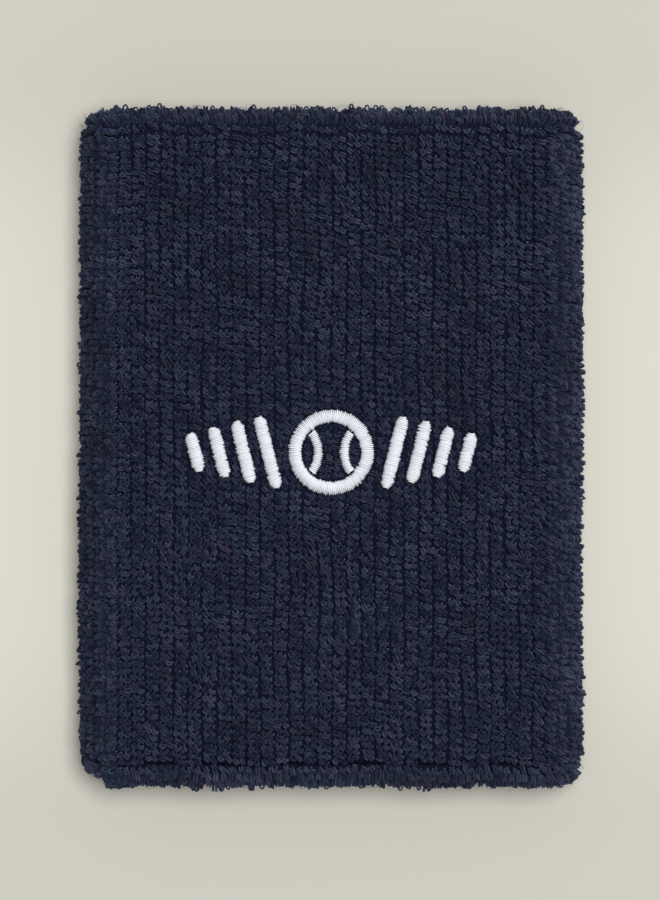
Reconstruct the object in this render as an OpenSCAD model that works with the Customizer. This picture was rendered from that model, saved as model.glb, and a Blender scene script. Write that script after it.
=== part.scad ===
// Double-width sweat wristband, lying flat.
// X runs across the flat band, Y runs along the arm, Z is up. The origin is under the band's middle.
// The wall is one terry tube folded in on itself: loops outside, ground knit in the middle, loops inside.

/* [Band] */
// Length along the arm, over both turned rims
band_length = 120; // [90:1:150]
// Width across the side folds
band_width = 89; // [80:1:110]
// Thickness over both walls and the opening between them
band_thickness = 18; // [17:0.5:26]

/* [Terry knit] */
// Height of the terry loops that stand on the ground knit
pile_height = 2; // [1.6:0.1:2.2]
// Thickness of the ground knit that holds the loops
ground_thickness = 0.4; // [0.3:0.05:0.5]
// Space between the two layers of ground knit
core_gap = 1; // [1:0.1:1.2]
// Clearance between layers that lie on each other
ease = 0.05; // [0.03:0.01:0.08]
// Distance from one wale of loops to the next, across the band
wale_pitch = 2.54; // [2:0.02:3]

/* [Elastic] */
// Diameter of one covered elastic yarn
elastic_diameter = 0.45; // [0.3:0.05:0.45]
// Distance from one elastic yarn to the next, along the arm
elastic_pitch = 5; // [2.5:0.5:10]

/* [Closing seam] */
// Distance from the lower rim's edge to the middle of the seam
seam_offset = 4.2; // [3.8:0.1:8]
// Width of the groove that the seam pulls into the loops
seam_groove = 0.8; // [0.7:0.05:1.2]
// Diameter of the closing thread
seam_thread = 0.5; // [0.3:0.05:0.55]

/* [Emblem] */
// Distance of the emblem's middle below the band's middle
emblem_drop = 0.8; // [-20:0.1:20]
// Outer radius of the ball's stitched outline
ball_radius = 7.6; // [6:0.1:9]
// Width of one satin-stitched column
satin_width = 2.4; // [1.8:0.1:2.8]
// Height of the longest bar beside the ball
tallest_bar = 13; // [10:0.5:15]
// How much shorter each bar is than the one before it
bar_step = 2; // [1:0.25:2.5]
// Distance from one bar to the next
bar_pitch = 4.3; // [4:0.1:5]
// Outward lean of the bars, in degrees
bar_lean = 14; // [0:1:20]
// Number of bars on each side of the ball
bars_per_side = 4; // [2:1:4]

/* [Hidden] */
$fn = 96;

navy = [0.11, 0.14, 0.25];
ground_navy = [0.08, 0.10, 0.19];
thread_white = [0.94, 0.95, 0.98];
elastic_grey = [0.30, 0.32, 0.38];
backing_white = [0.86, 0.86, 0.83];

// The wall, by depth from the outer surface
ground_depth = pile_height + ease;
core_depth = ground_depth + ground_thickness;
wall = 2 * core_depth + core_gap;
mid_depth = wall / 2;
lining_ground_depth = core_depth + core_gap;
lining_depth = lining_ground_depth + ground_thickness + ease;

// The flat loop that the wall follows: two straight runs and two half-circle folds
straight = band_width - band_thickness;
fold_radius = band_thickness / 2;
turn_y = band_length / 2 - mid_depth;
seam_y = seam_offset - band_length / 2;

// The closing seam, in the groove
seam_depth = pile_height - seam_thread / 2 - 0.1;
seam_stitch = 0.3;
stitches_per_run = floor(straight / wale_pitch);
knot_wire = 0.2;
knot_radius = 0.4;

// The elastic lies on the back of the outer ground knit
elastic_depth = core_depth + ease + elastic_diameter / 2;
elastic_count = 2 * floor((turn_y - 2) / elastic_pitch) + 1;

// The embroidery, by height
pressed_pile = 0.9;
underlay_height = 0.3;
satin_height = 0.9;
pocket_z = band_thickness - pile_height + pressed_pile;
underlay_z = pocket_z + ease;
satin_z = underlay_z + underlay_height + ease;
underlay_inset = 0.4;
pocket_ease = 0.1;
bobbin_inset = 0.6;
bobbin_height = 0.17;
backing_height = 0.3;
backing_z = band_thickness - core_depth - ease - elastic_diameter - ease - backing_height;
bobbin_z = backing_z - 0.03 - bobbin_height;
backing_margin = 2.5;
first_bar_x = ball_radius + 3.6;
curve_centre = 8.2;
curve_radius = 5.9;
curve_width = 1.6;
emblem_half_width = first_bar_x + (bars_per_side - 1) * bar_pitch + satin_width;

// Turns a loop drawn in XY, with Z along the arm, to lie flat on the table
module lay_flat() {
    translate([0, 0, band_thickness / 2]) rotate([-90, 0, 0]) children();
}

// Outline of the flat loop at a depth inside the outer surface
module loop_outline(depth) {
    radius = fold_radius - depth;
    square([straight, 2 * radius], center = true);
    for (side = [-1, 1]) translate([side * straight / 2, 0]) circle(radius);
}

// A layer of the wall between two depths and two places along the arm
module wall_layer(outer_depth, inner_depth, low, high) {
    lay_flat() translate([0, 0, low]) linear_extrude(high - low) difference() {
        loop_outline(outer_depth);
        loop_outline(inner_depth);
    }
}

// Sweeps a profile round the flat loop: its X points out of the loop and its Y runs along the arm
module round_the_loop(depth) {
    radius = fold_radius - depth;
    lay_flat() for (turn = [0, 180]) rotate([0, 0, turn]) {
        translate([straight / 2, 0, 0]) rotate([0, 0, -90])
            rotate_extrude(angle = 180) translate([radius, 0]) children();
        translate([-straight / 2, radius, 0]) rotate([90, 0, 90]) linear_extrude(straight) children();
    }
}

// Half a ring, open towards the band: the section of a layer turned over a rim
module turned_section(outer, inner) {
    difference() {
        circle(outer);
        circle(inner);
        translate([-2 * outer, -4 * outer]) square([4 * outer, 4 * outer]);
    }
}

// A straight bar with round ends, standing along Y
module round_bar(width, height) {
    square([width, height - width], center = true);
    for (end = [-1, 1]) translate([0, end * (height - width) / 2]) circle(width / 2);
}

// Outlines of the emblem. grow widens each outline all round, and a negative value narrows it.
module ball_outline(grow) {
    difference() {
        circle(ball_radius + grow);
        circle(ball_radius - satin_width - grow);
    }
}

module ball_curves(grow) {
    intersection() {
        circle(ball_radius - satin_width - 0.3 + grow);
        for (side = [-1, 1]) translate([side * curve_centre, 0]) difference() {
            circle(curve_radius + curve_width / 2 + grow);
            circle(curve_radius - curve_width / 2 - grow);
        }
    }
}

module side_bars(side, grow) {
    for (i = [0 : bars_per_side - 1])
        translate([side * (first_bar_x + i * bar_pitch), 0]) rotate(-side * bar_lean)
            round_bar(satin_width + 2 * grow, tallest_bar - i * bar_step + 2 * grow);
}

module emblem(grow) {
    ball_outline(grow);
    ball_curves(grow);
    side_bars(-1, grow);
    side_bars(1, grow);
}

// Places an emblem outline at a height and gives it a thickness
module stitched(z, height) {
    translate([0, -emblem_drop, z]) linear_extrude(height) children();
}

// Loops of the outside, pressed down in a pocket under the emblem
module outer_terry_face() {
    color(navy) difference() {
        wall_layer(0, pile_height, seam_y + seam_groove / 2, turn_y);
        stitched(pocket_z, pile_height) emblem(pocket_ease);
    }
}

// Loops of the inside, against the wrist
module wrist_side_terry_face() {
    color(navy) wall_layer(lining_depth, wall, -turn_y, turn_y);
}

// Loops that turn over the upper rim
module upper_rim_terry() {
    color(navy) translate([0, turn_y + ease, 0])
        round_the_loop(mid_depth) turned_section(mid_depth - ease, mid_depth - pile_height);
}

// Loops that turn over the lower rim and run up to the seam
module lower_rim_terry() {
    color(navy) {
        translate([0, -turn_y - ease, 0]) round_the_loop(mid_depth)
            mirror([0, 1]) turned_section(mid_depth - ease, mid_depth - pile_height);
        wall_layer(ease, pile_height, -turn_y - ease, seam_y - seam_groove / 2);
    }
}

// Ground knit, from the seam up the outside, over the upper rim, down the inside and round the lower rim
module ground_knit_tube() {
    outer_radius = core_gap / 2 + ground_thickness;
    color(ground_navy) difference() {
        round_the_loop(mid_depth) difference() {
            round_bar(2 * outer_radius, 2 * (turn_y + outer_radius));
            round_bar(core_gap, 2 * turn_y + core_gap);
        }
        wall_layer(ground_depth - ease, core_depth + ease, seam_y - ease, seam_y + ease);
    }
}

// Covered elastic yarns laid in the knit, one ring every few courses
module inlaid_elastic_yarns() {
    color(elastic_grey) for (i = [0 : elastic_count - 1])
        translate([0, (i - (elastic_count - 1) / 2) * elastic_pitch, 0])
            round_the_loop(elastic_depth) circle(elastic_diameter / 2);
}

// Thread that joins the tube's two ends, with a stitch across the seam at each wale
module closing_seam_thread() {
    stitch_z = fold_radius - seam_depth;
    color(ground_navy) translate([0, seam_y, 0]) {
        round_the_loop(seam_depth) circle(seam_thread / 2);
        lay_flat() for (side = [-1, 1]) for (i = [0 : stitches_per_run])
            translate([(i - stitches_per_run / 2) * wale_pitch, side * stitch_z, 0])
                cylinder(h = seam_groove - 2 * ease, d = seam_stitch, center = true);
    }
}

// Knot at the start of the closing thread, tucked into the groove at the left fold
module closing_seam_knot() {
    knot_x = -band_width / 2 + knot_radius + knot_wire + 0.1;
    color(ground_navy) translate([knot_x, seam_y, band_thickness / 2]) rotate([90, 0, 0])
        rotate_extrude() translate([knot_radius, 0]) circle(knot_wire);
}

// Tear-away backing left under the embroidery
module embroidery_backing() {
    width = 2 * (emblem_half_width + backing_margin);
    height = 2 * (ball_radius + backing_margin);
    color(backing_white) stitched(backing_z, backing_height)
        rotate(90) round_bar(height, width);
}

// Bobbin thread: a narrow line down the back of each satin column
module emblem_bobbin_thread() {
    color(thread_white) stitched(bobbin_z, bobbin_height) emblem(-bobbin_inset);
}

// Underlay stitches that carry the satin
module emblem_underlay_stitches() {
    color(thread_white) stitched(underlay_z, underlay_height) emblem(-underlay_inset);
}

// Satin stitches of the ball's outline
module emblem_ball_outline() {
    color(thread_white) stitched(satin_z, satin_height) ball_outline(0);
}

// Satin stitches of the ball's two seam curves
module emblem_ball_curves() {
    color(thread_white) stitched(satin_z, satin_height) ball_curves(0);
}

// Satin-stitched bars on the left of the ball
module emblem_left_bars() {
    color(thread_white) stitched(satin_z, satin_height) side_bars(-1, 0);
}

// Satin-stitched bars on the right of the ball
module emblem_right_bars() {
    color(thread_white) stitched(satin_z, satin_height) side_bars(1, 0);
}

outer_terry_face();
wrist_side_terry_face();
upper_rim_terry();
lower_rim_terry();
ground_knit_tube();
inlaid_elastic_yarns();
closing_seam_thread();
closing_seam_knot();
embroidery_backing();
emblem_bobbin_thread();
emblem_underlay_stitches();
emblem_ball_outline();
emblem_ball_curves();
emblem_left_bars();
emblem_right_bars();
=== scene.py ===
"""A double-width terry wristband lying flat: knitted loops, turned rims and a stitched ball emblem."""

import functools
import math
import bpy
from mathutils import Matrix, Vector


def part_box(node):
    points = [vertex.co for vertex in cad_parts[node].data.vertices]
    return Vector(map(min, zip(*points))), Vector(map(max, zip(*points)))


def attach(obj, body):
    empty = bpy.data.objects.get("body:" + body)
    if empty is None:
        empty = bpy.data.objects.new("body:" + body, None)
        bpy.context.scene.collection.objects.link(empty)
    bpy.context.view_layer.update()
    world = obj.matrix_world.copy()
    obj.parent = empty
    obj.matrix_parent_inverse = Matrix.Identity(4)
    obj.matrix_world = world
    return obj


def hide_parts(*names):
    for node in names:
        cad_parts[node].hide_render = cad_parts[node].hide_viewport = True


bl_info = {
    "name": "Terry Wristband",
    "version": (1, 0, 0),
    "blender": (4, 5, 0),
    "location": "3D View > Sidebar > Wristband",
    "description": "Knits a double-width terry wristband and stitches its emblem",
    "category": "Object",
}

import bmesh
import bpy
import numpy as np
from bpy.props import FloatProperty, FloatVectorProperty, IntProperty, PointerProperty
from bpy.types import Operator, Panel, PropertyGroup

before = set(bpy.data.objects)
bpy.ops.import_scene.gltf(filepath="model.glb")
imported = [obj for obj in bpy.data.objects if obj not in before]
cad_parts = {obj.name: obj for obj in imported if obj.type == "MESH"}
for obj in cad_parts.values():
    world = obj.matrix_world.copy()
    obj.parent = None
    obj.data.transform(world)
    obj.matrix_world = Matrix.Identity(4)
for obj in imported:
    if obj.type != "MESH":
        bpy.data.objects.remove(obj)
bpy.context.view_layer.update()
BODY = "root"
MM = 0.001

# Sizes of the flat band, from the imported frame
FACE_LOW, FACE_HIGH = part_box("outer_terry_face")
THICKNESS = FACE_HIGH[2] - FACE_LOW[2]
STRAIGHT = FACE_HIGH[0] - FACE_LOW[0] - THICKNESS
FOLD_RADIUS = THICKNESS / 2
TURN_Y = FACE_HIGH[1]
MID_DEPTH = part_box("upper_rim_terry")[1][1] - TURN_Y
GROUND_DEPTH = FACE_HIGH[2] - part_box("ground_knit_tube")[1][2]
GROUND_HALF = MID_DEPTH - GROUND_DEPTH
SEAM_Y = sum(corner[1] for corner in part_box("closing_seam_thread")) / 2
PERIMETER = 2 * STRAIGHT + 2 * math.pi * FOLD_RADIUS

# The last course stands off from the others, with a groove between them
LAST_COURSE = TURN_Y - 0.62 * MM
TOP_GROOVE = 1.72 * MM

# The wall's own grid, and how far its folds and rims wander from straight
WALL_ROUND, WALL_ALONG = 720, 160
BOW = 0.25 * MM
RIM_WAVE = 0.22 * MM
RIM_ROUNDING = 0.45 * MM

# The cloth that gives the pattern of the wall's sag: its grid, its frames, its share of gravity and
# its settings. The depth of the sag isn't the cloth's: the drop is scaled to the knit's own setting
SETTLE_ROUND, SETTLE_ALONG = 120, 48
SETTLE_FRAMES = 9
SETTLE_GRAVITY = 0.1
SETTLE_QUALITY = 6
SETTLE_STIFFNESS = 4.0

# Left of the notch the lower rim is pulled in. Its front has no loops between the two bare limits, which
# are distances past the notch, up to the bare turn, which is an angle round the rim
NOTCH = -6.75 * MM
NOTCH_X = -STRAIGHT / 2 - FOLD_RADIUS * math.sin(-NOTCH / FOLD_RADIUS)
NOTCH_DEPTH = 1.6 * MM
NOTCH_EDGE = 0.15 * MM
BARE_FROM, BARE_TO = -4.2 * MM, -0.3 * MM
BARE_TURN = 1.3

# The yarn's end is curled up past the seam's first stitches
CURL_RADIUS = 1.15 * MM
CURL_TURNS = 2.6
CURL_YARN = 0.42 * MM
CURL_POINTS = 60

# The closing seam's stitches, its thread and its knot
SEAM_STITCHES, SEAM_STEPS = 71, 8
SEAM_SWING = 0.32 * MM
SEAM_THREAD = 0.42 * MM
KNOT_REACH = 0.45 * MM
KNOT_THREAD = 0.3 * MM
KNOT_POINTS = 40

# The ground knit's sheet: its grid, its thickness and the gap that the seam closes
KNIT_ROUND, KNIT_ALONG, KNIT_TURNS, KNIT_BACK = 104, 40, 6, 4
KNIT_THICKNESS = 0.4 * MM
SEAM_GAP = 0.2 * MM

# The elastic's rings and the points of each ring
ELASTIC_RINGS, ELASTIC_POINTS = 23, 156
ELASTIC_YARN = 0.42 * MM

# From one ply of a loop to the next, in diameters
PLY_GAP = 1.27

# Diameter of a ply against the knit's yarn: by the plies of an outside loop, and for inside loops
PLY_SIZES = {2: 1.0, 1: 1.75}
INSIDE_YARN = 1.7

# How far loops stray from the usual height and width, as shares
HEIGHT_SPREAD = 0.07
WIDTH_SPREAD = 0.12

# On the side folds loops pair up closer, stand taller, turn further, and their painted shade reaches higher
# up from their feet
FOLD_PAIRING = 0.06
FOLD_RISE = 0.16
FOLD_TURN = 0.45
FOLD_PAINTED_SHADE = 0.6

# Loops keep clear of the emblem's stitches, and get short beside them and along the closing seam
EMBLEM_CLEAR = 0.05 * MM
EMBLEM_NEAR, EMBLEM_FAR = 0.1 * MM, 2.6 * MM
SEAM_HALF = 0.6 * MM

# The share of rim loops that are long, how many open loops and fibres there are, a fibre's points and
# its diameter
LONG_LOOPS = 0.04
RIM_OPEN_LOOPS, FOLD_OPEN_LOOPS = 54, 60
FIBRES, FIBRE_POINTS = 1500, 5
FIBRE = 0.045 * MM

# Where each stretch of the flat loop ends, as a share of the way round from the front's left end
FRONT_END = STRAIGHT / PERIMETER
RIGHT_END = 0.5
UNDER_END = 0.5 + FRONT_END

# The emblem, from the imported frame: heights are above the ground knit
BALL_LOW, BALL_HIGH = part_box("emblem_ball_outline")
EMBLEM_Y = (BALL_LOW[1] + BALL_HIGH[1]) / 2
BALL_RADIUS = (BALL_HIGH[0] - BALL_LOW[0]) / 2
GROUND_Z = FACE_HIGH[2] - GROUND_DEPTH
SATIN_TOP = BALL_HIGH[2] - GROUND_Z
UNDERLAY_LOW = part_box("emblem_underlay_stitches")[0][2] - GROUND_Z
UNDERLAY_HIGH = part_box("emblem_underlay_stitches")[1][2] - GROUND_Z
BACKING_LOW, BACKING_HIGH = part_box("embroidery_backing")
BOBBIN_MIDDLE = sum(corner[2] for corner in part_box("emblem_bobbin_thread")) / 2 - GROUND_Z


def metres(name, note, default):
    """A setting in metres."""
    return FloatProperty(name=name, description=note, default=default, unit="LENGTH")


def ratio(name, note, default):
    """A setting without a unit."""
    return FloatProperty(name=name, description=note, default=default)


def degrees_of(name, note, degrees):
    """An angle setting, given in degrees."""
    return FloatProperty(name=name, description=note, default=math.radians(degrees), subtype="ANGLE")


def whole(name, note, default):
    """A whole number setting."""
    return IntProperty(name=name, description=note, default=default)


def paint(name, note, default):
    """A colour setting."""
    return FloatVectorProperty(name=name, description=note, default=default, subtype="COLOR")


class KnitSettings(PropertyGroup):
    """Sizes of the terry knit."""

    columns: whole("Columns", "Columns of loops round the band", 156)
    courses: whole("Courses", "Courses of loops along the band", 91)
    inside_columns: whole("Inside columns", "Columns of loops round the inside", 78)
    inside_courses: whole("Inside courses", "Courses of loops along the inside", 70)
    yarn: metres("Yarn", "Diameter of one ply of a loop", 0.39 * MM)
    half_loop: metres("Half loop", "Half the width of a loop", 0.47 * MM)
    slant: degrees_of("Slant", "Turn of the loops across the courses", -38)
    pairing: ratio("Pairing", "How far two columns draw together into a wale", 0.10)
    wander: metres("Wander", "How far a wale strays sideways", 0.30 * MM)
    sag: metres("Sag", "Depth that the upper wall's sag is scaled to", 0.8 * MM)


class EmblemSettings(PropertyGroup):
    """Sizes of the stitched emblem."""

    column: metres("Satin column", "Width of one satin column", 2.4 * MM)
    curve_column: metres("Curve column", "Width of the ball's seam curves", 1.6 * MM)
    curve_offset: metres("Curve offset", "From the ball's middle to that of a seam curve's circle", 8.2 * MM)
    curve_radius: metres("Curve radius", "Radius of a seam curve", 5.9 * MM)
    first_bar: metres("First bar", "From the ball's edge to the first bar", 3.6 * MM)
    bar_pitch: metres("Bar pitch", "From one bar to the next", 4.3 * MM)
    tallest_bar: metres("Tallest bar", "Length of the first bar", 13 * MM)
    bar_step: metres("Bar step", "How much shorter each bar is", 2 * MM)
    bar_lean: degrees_of("Bar lean", "Outward lean of the bars", 14)
    bars: whole("Bars", "Bars on each side of the ball", 4)
    thread: metres("Thread", "Diameter of the satin thread", 0.30 * MM)
    stitch: metres("Stitch", "From one satin stitch to the next", 0.30 * MM)


class ColourSettings(PropertyGroup):
    """Colours of the yarns and of the table."""

    # Terry and terry light are the ends of the loops' tint, which holds painted shade and painted light
    # besides each loop's own shade
    terry: paint("Terry", "Terry yarn", (0.0040, 0.0060, 0.0200))
    terry_light: paint("Terry light", "Paler terry fibres", (0.0355, 0.0395, 0.0585))
    ground: paint("Ground", "Ground knit", (0.0042, 0.0062, 0.0220))
    satin: paint("Satin", "Embroidery thread", (0.865, 0.885, 0.945))
    elastic: paint("Elastic", "Covered elastic", (0.07, 0.08, 0.12))
    backing: paint("Backing", "Tear-away backing", (0.72, 0.72, 0.68))
    table: paint("Table", "Table top", (0.780, 0.760, 0.667))


class StageSettings(PropertyGroup):
    """Camera and lights."""

    view_width: metres("View width", "Width that the camera takes in", 0.1163)
    view_shape: ratio("View shape", "Height of the view for a width of 1", 15 / 11)
    lens: ratio("Lens", "Focal length in millimetres", 200.0)
    key_power: ratio("Key", "Power of the overhead key light", 12.7)
    side_power: ratio("Side", "Power of the light from the upper right", 4.5)
    sky: ratio("Sky", "Strength of the light all round", 0.28)


# ---------------------------------------------------------------- shape of the wall


def unit_rows(rows):
    """Rows scaled to length 1."""
    return rows / np.maximum(np.linalg.norm(rows, axis=-1, keepdims=True), 1e-12)


def ripple(around, along, seed, waves=6, reach=5.0):
    """Smooth random waves over the band, from about -1 to 1, that close on themselves round it."""
    rng = np.random.default_rng(seed)
    total = np.zeros(np.broadcast(around, along).shape)
    for _ in range(waves):
        turns = rng.integers(1, int(reach) + 2)
        length = rng.uniform(0.5, reach) / (2 * TURN_Y)
        phase, other = rng.uniform(0, 2 * math.pi, 2)
        total += np.sin(2 * math.pi * turns * around + phase) * np.sin(2 * math.pi * length * along + other)
    return total / math.sqrt(waves)


def smooth_step(low, high, value):
    """0 before low, 1 past high, and a smooth rise between."""
    share = np.clip((value - low) / (high - low), 0, 1)
    return share * share * (3 - 2 * share)


def flat_loop(around):
    """Middle line of the wall's section: its x, its z and its outward direction, by share of the way."""
    run = (around % 1.0) * PERIMETER
    half = PERIMETER / 2
    under = run >= half
    run = np.where(under, run - half, run)
    sign = np.where(under, -1.0, 1.0)
    turn = np.clip((run - STRAIGHT) / FOLD_RADIUS, 0, math.pi)
    out_x, out_z = sign * np.sin(turn), sign * np.cos(turn)
    centre_x = sign * (np.minimum(run, STRAIGHT) - STRAIGHT / 2)
    reach = FOLD_RADIUS - MID_DEPTH
    return centre_x + out_x * reach, FOLD_RADIUS + out_z * reach, out_x, out_z


class Wall:
    """The folded wall's middle surface, as a grid of points: round the band, then along the arm."""

    def __init__(self, grid):
        self.grid = grid
        self.around = np.roll(grid, -1, axis=0) - np.roll(grid, 1, axis=0)
        self.along = np.gradient(grid, axis=1)

    def blend(self, rows, around, along):
        """Values between the grid's points."""
        count, length = rows.shape[:2]
        at = (around % 1.0) * count
        up = np.clip((along + TURN_Y) / (2 * TURN_Y), 0, 1) * (length - 1)
        i, j = np.floor(at).astype(int), np.minimum(np.floor(up).astype(int), length - 2)
        s, t = (at - i)[..., None], (up - j)[..., None]
        i, k = i % count, (i + 1) % count
        low = rows[i, j] * (1 - s) + rows[k, j] * s
        high = rows[i, j + 1] * (1 - s) + rows[k, j + 1] * s
        return low * (1 - t) + high * t

    def at(self, around, along):
        """Points of the middle surface with their directions round the band, along it and out of it."""
        point = self.blend(self.grid, around, along)
        across = unit_rows(self.blend(self.around, around, along))
        up = unit_rows(self.blend(self.along, around, along))
        out = unit_rows(np.cross(across, up))
        return point, across, unit_rows(np.cross(out, across)), out

    def ground(self, around, along, turn):
        """Points of the ground knit, at an angle round the wall's edge: 0 is outside and pi is inside."""
        point, across, up, out = self.at(around, along)
        end = np.where(along < 0, -1.0, 1.0)[..., None]
        turn = np.broadcast_to(turn, np.shape(around))[..., None]
        stand = np.cos(turn) * out + end * np.sin(turn) * up
        course = np.cos(turn) * up - end * np.sin(turn) * out
        return point + GROUND_HALF * stand, across, course, stand

    def front(self, x, y, height):
        """A point over the front's ground knit, for a place in the flat band's plan."""
        point, _, _, out = self.at((x + STRAIGHT / 2) / PERIMETER, y)
        return point + out * (GROUND_HALF + height)[..., None]


def first_grid(count, length):
    """The wall before it settles: the flat loop, drawn along the arm, with slightly uneven edges."""
    around = np.arange(count)[:, None] / count
    along = np.linspace(-TURN_Y, TURN_Y, length)[None, :]
    x, z, out_x, out_z = flat_loop(around)
    bow = BOW * ripple(around, along, 3, reach=2)
    rim = RIM_WAVE * ripple(around, along * 0, 4, reach=9) * (along / TURN_Y) ** 2
    fold_end = np.sign(along) * (along / TURN_Y) ** 12
    rim = rim - RIM_ROUNDING * smooth_step(0.78, 1.0, np.abs(out_x)) * fold_end
    edge = x + out_x * MID_DEPTH
    notched = smooth_step(NOTCH_X + NOTCH_EDGE, NOTCH_X - NOTCH_EDGE, edge) * (along < 0)
    rim = rim - NOTCH_DEPTH * notched * np.sign(along) * np.abs(along / TURN_Y) ** 24
    grid = np.empty((count, length, 3))
    grid[..., 0] = x + bow * out_x
    grid[..., 1] = along + rim
    grid[..., 2] = z + 0 * along
    return grid


def mesh_of(name, work):
    """A mesh made from a finished bmesh."""
    mesh = bpy.data.meshes.new(name)
    work.to_mesh(mesh)
    work.free()
    return mesh


def laid_grid(points):
    """A bmesh grid laid at rows of points, with each vertex's place in those rows in a layer."""
    rows, columns = points.shape[:2]
    sheet = bmesh.new()
    bmesh.ops.create_grid(sheet, x_segments=rows - 1, y_segments=columns - 1, size=1.0, calc_uvs=True)
    place = sheet.verts.layers.int.new("place")
    for vert in sheet.verts:
        row = round((vert.co.x + 1) / 2 * (rows - 1))
        column = round((vert.co.y + 1) / 2 * (columns - 1))
        vert.co = points[row, column]
        vert[place] = row * columns + column
    bmesh.ops.remove_doubles(sheet, verts=sheet.verts, dist=1e-6)
    return sheet


def settle(grid):
    """Sags the upper wall: cloth on a coarser tube gives the pattern, and its drop is scaled to the sag."""
    scene = bpy.context.scene
    around = np.arange(SETTLE_ROUND + 1)[:, None] / SETTLE_ROUND
    along = np.linspace(-TURN_Y, TURN_Y, SETTLE_ALONG)[None, :]
    start = Wall(grid).blend(grid, around + 0 * along, along + 0 * around)
    sheet = laid_grid(start)
    place = sheet.verts.layers.int["place"]
    places = np.array([vert[place] for vert in sheet.verts])
    mesh = mesh_of("settling", sheet)
    tube = bpy.data.objects.new("settling", mesh)
    scene.collection.objects.link(tube)
    held = tube.vertex_groups.new(name="held")
    held.add([vert.index for vert in mesh.vertices if vert.co.z < FOLD_RADIUS], 1.0, "REPLACE")
    cloth = tube.modifiers.new("Sag", "CLOTH")
    cloth.settings.quality = SETTLE_QUALITY
    cloth.settings.bending_stiffness = SETTLE_STIFFNESS
    cloth.settings.vertex_group_mass = "held"
    cloth.settings.effector_weights.gravity = SETTLE_GRAVITY
    cloth.point_cache.frame_end = SETTLE_FRAMES
    for step in range(1, SETTLE_FRAMES + 1):
        scene.frame_set(step)
    sunk = tube.evaluated_get(bpy.context.evaluated_depsgraph_get()).data
    ends = np.empty(len(places) * 3)
    sunk.vertices.foreach_get("co", ends)
    drop = np.zeros((SETTLE_ROUND, SETTLE_ALONG, 3))
    row, column = np.divmod(places, SETTLE_ALONG)
    drop[row % SETTLE_ROUND, column] = ends.reshape(-1, 3) - start[row, column]
    scene.frame_set(1)
    bpy.data.objects.remove(tube)
    bpy.data.meshes.remove(mesh)
    deepest = np.abs(drop).max()
    drop *= min(1.0, scene.wristband_knit.sag / max(deepest, 1e-9))
    around = np.arange(grid.shape[0])[:, None] / grid.shape[0]
    along = np.linspace(-TURN_Y, TURN_Y, grid.shape[1])[None, :]
    return grid + Wall(grid).blend(drop, around + 0 * along, along + 0 * around)


@functools.cache
def wall():
    """The settled wall that every piece is laid on."""
    return Wall(settle(first_grid(WALL_ROUND, WALL_ALONG)))


# ---------------------------------------------------------------- emblem outlines


def bars():
    """Middle x, length and lean of each bar, from the left to the right."""
    stitches = bpy.context.scene.wristband_emblem
    for side in (-1, 1):
        for step in range(stitches.bars):
            x = side * (BALL_RADIUS + stitches.first_bar + step * stitches.bar_pitch)
            yield side, x, stitches.tallest_bar - step * stitches.bar_step, side * stitches.bar_lean


def off_emblem(x, y):
    """Distance of places on the front from the nearest stitches, less than 0 under them."""
    stitches = bpy.context.scene.wristband_emblem
    y = y - EMBLEM_Y
    reach = np.hypot(x, y)
    nearest = np.abs(reach - BALL_RADIUS + stitches.column / 2) - stitches.column / 2
    for side in (-1, 1):
        bend = np.abs(np.hypot(x - side * stitches.curve_offset, y) - stitches.curve_radius)
        bend = np.maximum(bend - stitches.curve_column / 2, reach - BALL_RADIUS)
        nearest = np.minimum(nearest, bend)
    for _, middle, length, lean in bars():
        dx, dy = math.sin(lean), math.cos(lean)
        half = (length - stitches.column) / 2
        run = np.clip((x - middle) * dx + y * dy, -half, half)
        gap = np.hypot(x - middle - run * dx, y - run * dy) - stitches.column / 2
        nearest = np.minimum(nearest, gap)
    return nearest


# ---------------------------------------------------------------- yarn and thread


def spin(name, paths, diameter, tint, roundness=0, closed=False):
    """A mesh of round yarn along each path, with a tint for each strand or each of its points."""
    curve = bpy.data.curves.new(name, "CURVE")
    curve.dimensions = "3D"
    curve.bevel_depth = diameter / 2
    curve.bevel_resolution = roundness
    curve.use_fill_caps = not closed
    for path in paths:
        spline = curve.splines.new("POLY")
        spline.points.add(len(path) - 1)
        spline.points.foreach_set("co", np.column_stack([path, np.ones(len(path))]).ravel())
        spline.use_cyclic_u = closed
        spline.use_smooth = True
    holder = bpy.data.objects.new(name, curve)
    mesh = bpy.data.meshes.new_from_object(holder)
    mesh.name = name
    sides = 4 + 2 * roundness
    if tint.ndim == 1:
        tint = np.concatenate([np.full(len(path), shade) for path, shade in zip(paths, tint)])
    ends = np.cumsum([len(path) for path in paths])
    caps = np.zeros(0) if closed else np.repeat(tint.ravel()[ends[::-1] - 1], 2 * sides)
    shades = np.concatenate([caps, np.repeat(tint.ravel(), sides)])
    if len(shades) != len(mesh.vertices):
        raise RuntimeError(f"{name}: {len(mesh.vertices)} points where {len(shades)} were expected")
    mesh.attributes.new("tint", "FLOAT", "POINT").data.foreach_set("value", shades.astype(np.float32))
    bpy.data.objects.remove(holder)
    bpy.data.curves.remove(curve)
    return mesh


def sew_up(mesh):
    """Joins each strand's ends to its caps."""
    work = bmesh.new()
    work.from_mesh(mesh)
    bmesh.ops.remove_doubles(work, verts=work.verts, dist=1e-7)
    work.to_mesh(mesh)
    work.free()


def piece(name, mesh, material, slot, *nodes):
    """An object for a finished mesh, riding on the band and standing for its CAD nodes."""
    thing = bpy.data.objects.new(name, mesh)
    bpy.context.scene.collection.objects.link(thing)
    mesh.materials.append(material)
    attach(thing, BODY)
    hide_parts(*nodes)
    return thing


def yarn_piece(name, paths, diameter, tint, material, slot, *nodes, roundness=0, closed=False):
    """A piece made of round strands."""
    mesh = spin(name, paths, diameter, tint, roundness, closed)
    sew_up(mesh)
    return piece(name, mesh, material, slot, *nodes)


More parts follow.
